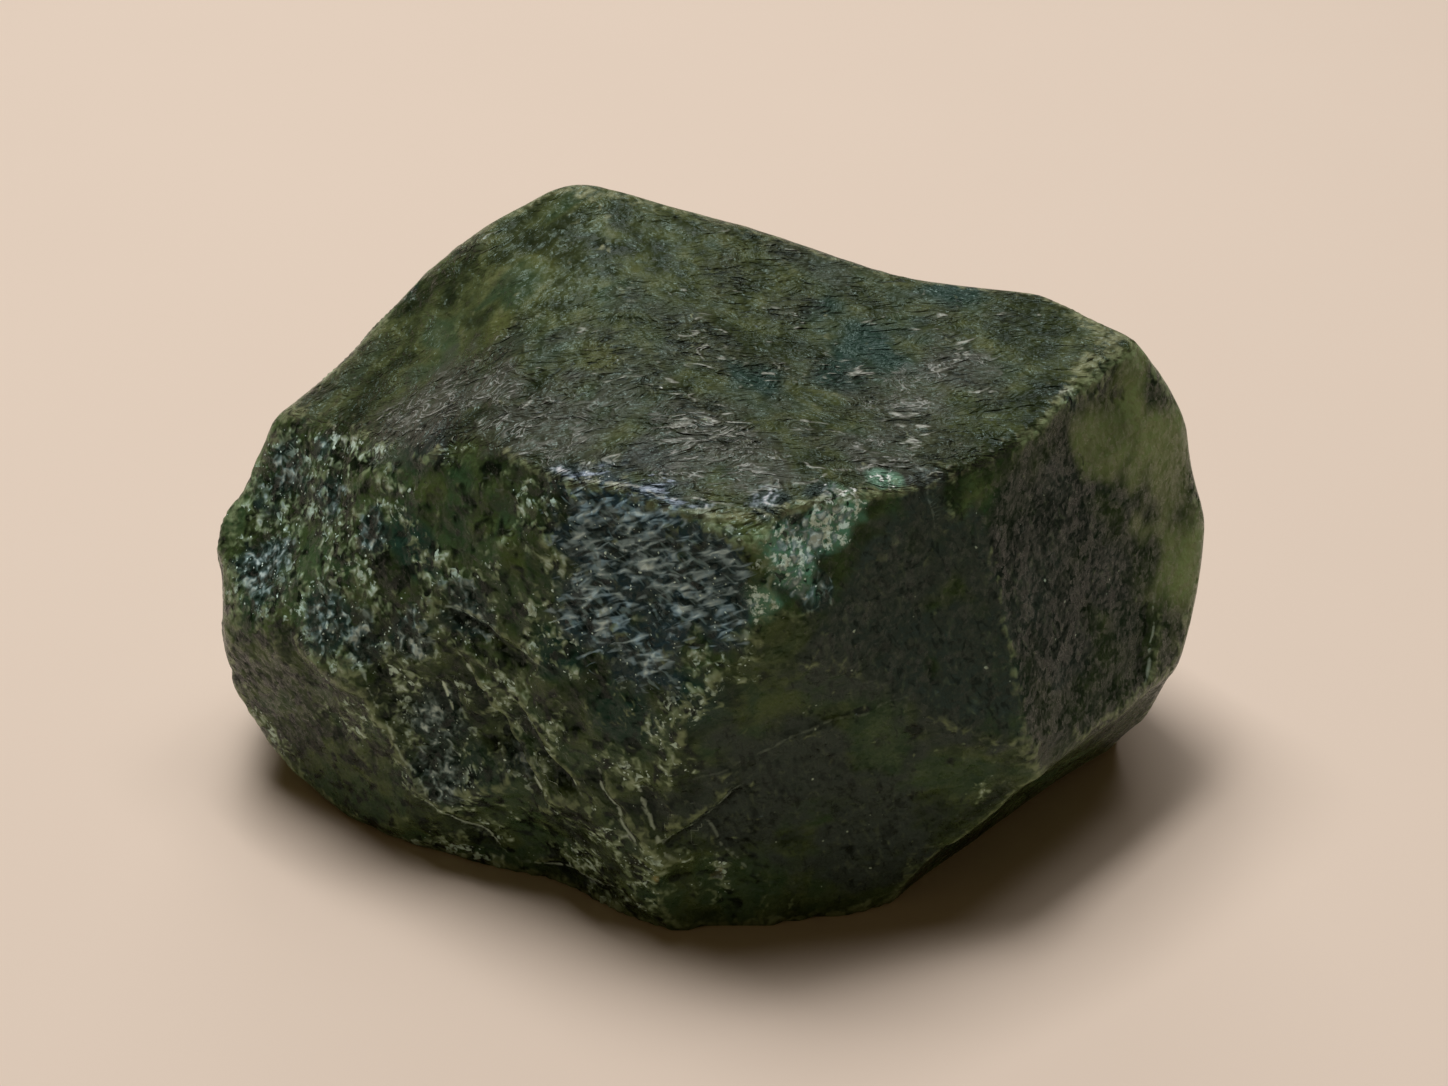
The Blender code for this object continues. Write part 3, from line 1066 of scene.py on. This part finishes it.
        blended = add_node(
            tree, "ShaderNodeMix", {"data_type": "FLOAT"},
            {0: self.mottled, 2: fields["clouds"], 3: fields["mottle"]},
        ).outputs[0]
        centred = add_node(
            tree, "ShaderNodeMath", {"operation": "SUBTRACT"}, {0: fields["mottle"], 1: 0.5}
        ).outputs[0]
        fields["fringe"] = add_node(
            tree, "ShaderNodeMath", {"operation": "MULTIPLY"}, {0: fields["yellow"], 1: fields["rightward"]}
        ).outputs[0]
        fields["strewn"] = add_node(
            tree, "ShaderNodeMath", {"operation": "MULTIPLY_ADD", "use_clamp": True},
            {0: centred, 1: self.uneven, 2: fields["sparkle"]},
        ).outputs[0]
        for name, share in self.grained:
            centred = add_node(
                tree, "ShaderNodeMath", {"operation": "SUBTRACT"}, {0: fields[name], 1: 0.5}
            ).outputs[0]
            blended = add_node(
                tree, "ShaderNodeMath", {"operation": "MULTIPLY_ADD"}, {0: centred, 1: share, 2: blended}
            ).outputs[0]
        colour = add_node(
            tree, "ShaderNodeValToRGB", None, {0: blended},
            [(place, linear(tint)) for place, tint in self.ground],
        ).outputs[0]
        for layer in self.layers:
            raised = add_node(
                tree, "ShaderNodeMath", {"operation": "MULTIPLY_ADD"},
                {0: fields[layer.gate], 1: layer.spread, 2: fields[layer.pattern]},
            ).outputs[0]
            share = add_node(
                tree, "ShaderNodeMapRange", {"interpolation_type": "SMOOTHSTEP"},
                {
                    0: raised, 1: layer.low + layer.spread, 2: layer.high + layer.spread,
                    3: 0.0, 4: layer.strength,
                },
            ).outputs[0]
            colour = add_node(
                tree, "ShaderNodeMix", {"data_type": "RGBA"},
                {MIX_FACTOR: share, MIX_A: colour, MIX_B: linear(layer.tint)},
            ).outputs[MIX_RESULT]

        # Steps: each has a painted shadow under it and a painted highlight along its lip, which crumbs break
        # up.
        chips, spares, chip_depth = self.chipping
        dark_from, dark_full = self.under_starts
        dark_until, dark_gone = self.under_ends
        lip_full, lip_gone = self.lip_widths
        broken = add_node(
            tree, "ShaderNodeMapRange", {"interpolation_type": "SMOOTHSTEP"},
            {0: fields["crumbs"], 1: chips, 2: spares, 3: chip_depth, 4: 0.0},
        ).outputs[0]
        under = add_node(
            tree, "ShaderNodeMapRange", {"interpolation_type": "SMOOTHSTEP"},
            {0: fields["lip_across"], 1: dark_from, 2: dark_full, 3: 0.0, 4: self.under_strength},
        ).outputs[0]
        faded = add_node(
            tree, "ShaderNodeMapRange", {"interpolation_type": "SMOOTHSTEP"},
            {0: fields["lip_across"], 1: dark_until, 2: dark_gone, 3: 1.0, 4: 0.0},
        ).outputs[0]
        for factor in (faded, fields["lip_shine"]):
            under = add_node(
                tree, "ShaderNodeMath", {"operation": "MULTIPLY"}, {0: under, 1: factor}
            ).outputs[0]
        colour = add_node(
            tree, "ShaderNodeMix", {"data_type": "RGBA"},
            {MIX_FACTOR: under, MIX_A: colour, MIX_B: linear(self.step_shadow_tint)},
        ).outputs[MIX_RESULT]
        lip = add_node(
            tree, "ShaderNodeMath", {"operation": "ABSOLUTE"}, {0: fields["lip_across"]}
        ).outputs[0]
        lip = add_node(tree, "ShaderNodeMath", {"operation": "ADD"}, {0: lip, 1: broken}).outputs[0]
        lip = add_node(
            tree, "ShaderNodeMapRange", {"interpolation_type": "SMOOTHSTEP"},
            {0: lip, 1: lip_full, 2: lip_gone, 3: 1.0, 4: 0.0},
        ).outputs[0]
        lip = add_node(
            tree, "ShaderNodeMath", {"operation": "MULTIPLY"}, {0: lip, 1: fields["lip_shine"]}
        ).outputs[0]
        colour = add_node(
            tree, "ShaderNodeMix", {"data_type": "RGBA"},
            {MIX_FACTOR: lip, MIX_A: colour, MIX_B: linear(self.lip_highlight_tint)},
        ).outputs[MIX_RESULT]
        # The sides are painted greener than the top, to offset the warm floor light that falls on them.
        sides = add_node(
            tree, "ShaderNodeMix", {"data_type": "RGBA"},
            {MIX_FACTOR: fields["upward"], MIX_A: self.side_bounce_tint, MIX_B: (1.0, 1.0, 1.0, 1.0)},
        ).outputs[MIX_RESULT]
        colour = add_node(
            tree, "ShaderNodeMix", {"data_type": "RGBA", "blend_type": "MULTIPLY"},
            {MIX_FACTOR: 1.0, MIX_A: colour, MIX_B: sides},
        ).outputs[MIX_RESULT]
        tree.links.new(colour, shader.inputs["Base Color"])

        waxy_grain, dull_grain = self.roughness_grain
        waxy, dull = self.roughness
        roughness = add_node(
            tree, "ShaderNodeMapRange", None,
            {0: fields["grain"], 1: waxy_grain, 2: dull_grain, 3: waxy, 4: dull},
        ).outputs[0]
        tree.links.new(roughness, shader.inputs["Roughness"])
        shader.inputs["IOR"].default_value = self.ior
        specular = add_node(
            tree, "ShaderNodeMapRange", None, {0: fields["upward"], 3: self.specular[0], 4: self.specular[1]}
        ).outputs[0]
        tree.links.new(specular, shader.inputs["Specular IOR Level"])
        shader.inputs["Specular Tint"].default_value = linear(self.gloss)

        # Broken grains: each leans its own way, and so catches or misses the light.
        lean = add_node(
            tree, "ShaderNodeMix", {"data_type": "RGBA"},
            {MIX_FACTOR: 0.5, MIX_A: leans["flakes"], MIX_B: leans["shards"]},
        ).outputs[MIX_RESULT]
        lean = add_node(
            tree, "ShaderNodeVectorMath", {"operation": "SUBTRACT"}, {0: lean, 1: (0.5, 0.5, 0.5)}
        ).outputs[0]
        bruised = add_node(
            tree, "ShaderNodeMath", {"operation": "ADD", "use_clamp": True},
            {0: fields["frost"], 1: fields["needle"]},
        ).outputs[0]
        amount = add_node(
            tree, "ShaderNodeMapRange", None, {0: bruised, 3: self.lean[0], 4: self.lean[1]}
        ).outputs[0]
        lean = add_node(
            tree, "ShaderNodeVectorMath", {"operation": "SCALE"}, {0: lean, "Scale": amount}
        ).outputs[0]
        heights = [(fields[name], depth) for name, depth in self.relief]
        for name, depth in self.strung_relief:
            strung = add_node(
                tree, "ShaderNodeMath", {"operation": "MULTIPLY"}, {0: fields[name], 1: fields["strung"]}
            ).outputs[0]
            heights.append((strung, depth))
        normal: Any = None
        for height, depth in heights:
            links = {"Height": height, "Distance": depth * MM, "Strength": 1.0}
            if normal is not None:
                links["Normal"] = normal
            normal = add_node(tree, "ShaderNodeBump", None, links).outputs[0]
        normal = add_node(tree, "ShaderNodeVectorMath", {"operation": "ADD"}, {0: normal, 1: lean}).outputs[0]
        normal = add_node(tree, "ShaderNodeVectorMath", {"operation": "NORMALIZE"}, {0: normal}).outputs[0]
        tree.links.new(normal, shader.inputs["Normal"])
        return material


@dataclass
class JadeBoulder:
    """The boulder itself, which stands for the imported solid."""

    finish: RawNephrite = field(default_factory=RawNephrite)
    form: BrokenForm = field(default_factory=BrokenForm)
    skin: Skin = field(default_factory=Skin)
    crest_height: float = 0.10
    cleft_depth: float = 0.10
    fine_rounds: int = 3  # of easing, for what stands out by its grain
    broad_rounds: int = 14  # and for what stands out by its form
    broad_share: float = 0.35
    standing_shares: tuple[float, float] = (0.2, 2.0)  # of that height or depth: starts to show, and full
    facing_rounds: int = 12  # that even out which way a place looks
    upward_slopes: tuple[float, float] = (0.55, 0.85)  # of the evened normal, from a side's to the top's
    leftward_slopes: tuple[float, float] = (0.0, 0.6)
    rightward_slopes: tuple[float, float] = (0.1, 0.6)
    cluster_size: float = 9.0
    strung_least: float = 0.6  # of the top's strings, between their clusters
    sound_spared: float = 0.85  # how far sound places are spared strings and sparkle
    needle_sparkle: float = 0.55
    side_sparkle: tuple[float, float] = (0.42, 0.58)  # on the left, between clusters, and more in them
    stray_sparkle: float = 0.25  # in the clusters of any side
    floor_slope: float = 1e-3  # from which a direction leads down to the floor at all
    sharp_angle: float = 32.0  # from which a fold between faces is drawn as a crisp edge

    def place_in_box(self, points: Array) -> Array:
        """Slides and eases the stone, by parts of a millimetre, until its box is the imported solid's own.

        Args:
            points: places from the heart.

        Returns:
            Places in the part's frame, in millimetres, with the base at height 0.
        """
        low, high = (np.array(corner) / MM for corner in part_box("boulder"))
        bottom, top = points.min(axis=0), points.max(axis=0)
        return low + (points - bottom) * (high - low) / (top - bottom)

    def mesh(self) -> bpy.types.Mesh:
        """Shapes the skin and gives each point its marks.

        Returns:
            The closed mesh, in metres, with its marks, ways of facing and kinds of edge as attributes.
        """
        ways, quads = self.skin.lattice()
        lengths = self.form.lengths(ways)
        points = ways * lengths[:, None]
        normals = self.skin.normals(points, quads)
        painter = PatchPainter(self.form)
        amounts = {mark.value: painter.amount(points, mark) for mark in Mark}
        close = CloseRelief(self.form)
        relief = self.skin.eased(close.depths(points, normals, amounts["sound"]), quads, 1)
        down = -ways[:, 2]
        to_floor = self.form.heart_height / np.maximum(down, self.floor_slope)
        lengths = np.minimum(lengths - relief, np.where(down > self.floor_slope, to_floor, NEVER_MET))
        points = ways * lengths[:, None]
        normals = self.skin.normals(points, quads)
        fine = self.skin.standing_out(points, quads, normals, self.fine_rounds)
        broad = self.broad_share * self.skin.standing_out(points, quads, normals, self.broad_rounds)
        starts, full = self.standing_shares
        amounts["crest"] = smooth(fine + broad, starts * self.crest_height, full * self.crest_height)
        # the clefts are painted darker in the colour, as painted shade
        amounts["cleft"] = smooth(-fine - broad, starts * self.cleft_depth, full * self.cleft_depth)
        facing = np.stack(
            [self.skin.eased(normals[:, k], quads, self.facing_rounds) for k in range(3)], axis=1
        )
        upward = amounts["upward"] = smooth(facing[:, 2], *self.upward_slopes)
        leftward = smooth(-facing[:, 0] - 0.5 * facing[:, 1], *self.leftward_slopes)
        rightward = smooth(facing[:, 0] + 0.3 * facing[:, 1], *self.rightward_slopes)
        amounts["leftward"] = leftward * (1.0 - upward)
        amounts["rightward"] = rightward * (1.0 - upward)
        clustered = smooth(painter.noise.clouds(points, self.cluster_size, 3), -0.15, 0.35)
        unsound = 1.0 - self.sound_spared * amounts["sound"]
        # strung: where the top's painted sheen and highlight strings go
        amounts["strung"] = upward * unsound * at_least(clustered, self.strung_least)
        # sparkle: where pale crumbs and the painted glints of flakes and specks are strewn
        bruised = np.maximum(amounts["frost"], self.needle_sparkle * amounts["needle"])
        between, within = self.side_sparkle
        strewn = (between + within * clustered) * amounts["leftward"] + self.stray_sparkle * clustered
        amounts["sparkle"] = np.clip(bruised + unsound * strewn, 0.0, 1.0)
        amounts["lip_across"], amounts["lip_shine"] = close.lips(points)
        mesh = bpy.data.meshes.new("jade_boulder")
        mesh.from_pydata((self.place_in_box(points) * MM).tolist(), [], quads.tolist())
        for name, amount in amounts.items():
            attribute = mesh.attributes.new(name, "FLOAT", "POINT")
            attribute.data.foreach_set("value", amount.astype(np.float32))
        mesh.shade_smooth()
        mesh.set_sharp_from_angle(angle=radians(self.sharp_angle))
        mesh.update()
        return mesh

    def build(self) -> bpy.types.Object:
        """Makes the boulder, dresses it and hangs it on the frame.

        Returns:
            The boulder.
        """
        boulder = bpy.data.objects.new("jade_boulder", self.mesh())
        bpy.context.scene.collection.objects.link(boulder)
        boulder.data.materials.append(self.finish.material())
        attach(boulder, "root")
        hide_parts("boulder")
        return boulder


@dataclass(frozen=True)
class MattPaper:
    """Heavy uncoated paper, warm and pale, with a faint unevenness of tone."""

    name: str = "paper_uncoated"
    pale: str = "#E0CEBB"
    paler: str = "#E3D1BE"
    tone_size: float = 60.0
    roughness: float = 0.9

    def material(self) -> bpy.types.Material:
        """Builds the node tree: two near tones of paper, mixed by a broad noise.

        Returns:
            The material, for the floor.
        """
        material = bpy.data.materials.new(self.name)
        material.use_nodes = True
        tree = material.node_tree
        shader = tree.nodes["Principled BSDF"]
        place = add_node(tree, "ShaderNodeTexCoord").outputs["Object"]
        tone = add_node(
            tree, "ShaderNodeTexNoise", None,
            {"Vector": place, "Scale": per_mm(self.tone_size), "Detail": 3.0},
        ).outputs[0]
        colour = add_node(
            tree, "ShaderNodeMix", {"data_type": "RGBA"},
            {MIX_FACTOR: tone, MIX_A: linear(self.pale), MIX_B: linear(self.paler)},
        ).outputs[MIX_RESULT]
        tree.links.new(colour, shader.inputs["Base Color"])
        shader.inputs["Roughness"].default_value = self.roughness
        shader.inputs["Specular IOR Level"].default_value = 0.1
        return material


class Softbox(NamedTuple):
    """A square soft light: its name, place and aim, its side, its power in watts and its colour."""

    name: str
    place: tuple[float, float, float]
    aim: tuple[float, float, float]
    side: float
    power: float
    colour: str


@dataclass
class Studio:
    """A pale floor, soft lights and the camera."""

    floor_radius: float = 4.0
    floor_rings: int = 48
    floor_sides: int = 96
    paper: MattPaper = field(default_factory=MattPaper)
    world_colour: str = "#FFDDA4"
    world_strength: float = 0.06
    lights: tuple[Softbox, ...] = (
        Softbox("overhead", (-0.16, 0.20, 1.12), (0.0, 0.0, 0.0), 0.50, 11.0, "#FBFAFD"),
        Softbox("side", (0.32, 0.14, 1.06), (0.0, 0.0, 0.0), 0.35, 1.4, "#FBFAFD"),
        Softbox("back", (0.0, 1.1, 0.80), (0.0, 0.0, 0.04), 0.60, 2.0, "#F4F8FF"),
    )
    camera_target: tuple[float, float, float] = (0.00173, -0.00096, 0.032)
    camera_distance: float = 0.416
    camera_elevation: float = 35.0
    camera_lens: float = 85.0
    camera_sensor: float = 36.0

    def floor(self) -> bpy.types.Object:
        """A level disc: point (r, a) lies at r^2 of the radius along angle a, so rings crowd at its middle.

        Returns:
            The floor.
        """
        radii = self.floor_radius * np.linspace(0.0, 1.0, self.floor_rings + 1)[1:] ** 2
        angles = np.linspace(0.0, 2.0 * pi, self.floor_sides, endpoint=False)
        ring = np.stack([np.cos(angles), np.sin(angles), np.zeros(self.floor_sides)], axis=1)
        points = np.concatenate([np.zeros((1, 3)), (radii[:, None, None] * ring).reshape(-1, 3)])
        index = 1 + np.arange(self.floor_rings * self.floor_sides).reshape(self.floor_rings, self.floor_sides)
        onward = np.roll(index, -1, axis=1)
        quads = np.stack([index[:-1], index[1:], onward[1:], onward[:-1]], axis=-1).reshape(-1, 4)
        middle = np.stack([np.zeros(self.floor_sides, int), index[0], onward[0]], axis=1)
        mesh = bpy.data.meshes.new("floor")
        mesh.from_pydata(points.tolist(), [], middle.tolist() + quads.tolist())
        mesh.materials.append(self.paper.material())
        floor = bpy.data.objects.new("floor", mesh)
        bpy.context.scene.collection.objects.link(floor)
        return floor

    def light(self, box: Softbox) -> None:
        """Sets up one square soft light.

        Args:
            box: what it is and where it stands.
        """
        lamp = bpy.data.lights.new(box.name, "AREA")
        lamp.size, lamp.energy, lamp.color = box.side, box.power, linear(box.colour)[:3]
        holder = bpy.data.objects.new(box.name, lamp)
        holder.location = box.place
        holder.rotation_euler = (Vector(box.aim) - Vector(box.place)).to_track_quat("-Z", "Y").to_euler()
        bpy.context.scene.collection.objects.link(holder)

    def surroundings(self) -> None:
        """A faint warm light from all round, which is what reaches the shadows."""
        world = bpy.data.worlds.new("studio")
        world.use_nodes = True
        background = world.node_tree.nodes["Background"]
        background.inputs["Color"].default_value = linear(self.world_colour)
        background.inputs["Strength"].default_value = self.world_strength
        bpy.context.scene.world = world

    def camera(self) -> None:
        """Stands the camera in front of the stone, looking down at it."""
        lens = bpy.data.cameras.new("camera")
        lens.lens, lens.sensor_width, lens.clip_start = self.camera_lens, self.camera_sensor, 0.01
        tilt = radians(self.camera_elevation)
        target = Vector(self.camera_target)
        holder = bpy.data.objects.new("camera", lens)
        holder.location = target + self.camera_distance * Vector((0.0, -cos(tilt), sin(tilt)))
        holder.rotation_euler = (target - holder.location).to_track_quat("-Z", "Y").to_euler()
        bpy.context.scene.collection.objects.link(holder)
        bpy.context.scene.camera = holder

    def build(self) -> None:
        """Sets up everything round the stone."""
        self.floor()
        for box in self.lights:
            self.light(box)
        self.surroundings()
        self.camera()
        bpy.context.scene.view_settings.view_transform = "Standard"


def main() -> None:
    """Builds the boulder and the studio, and reports each piece."""
    logging.basicConfig(level=logging.INFO, format="%(name)s: %(message)s")
    boulder = JadeBoulder().build()
    LOG.info("%s: %d faces", boulder.name, len(boulder.data.polygons))
    studio = Studio()
    studio.build()
    LOG.info("studio: floor, %d lights and camera", len(studio.lights))


if __name__ == "__main__":
    main()
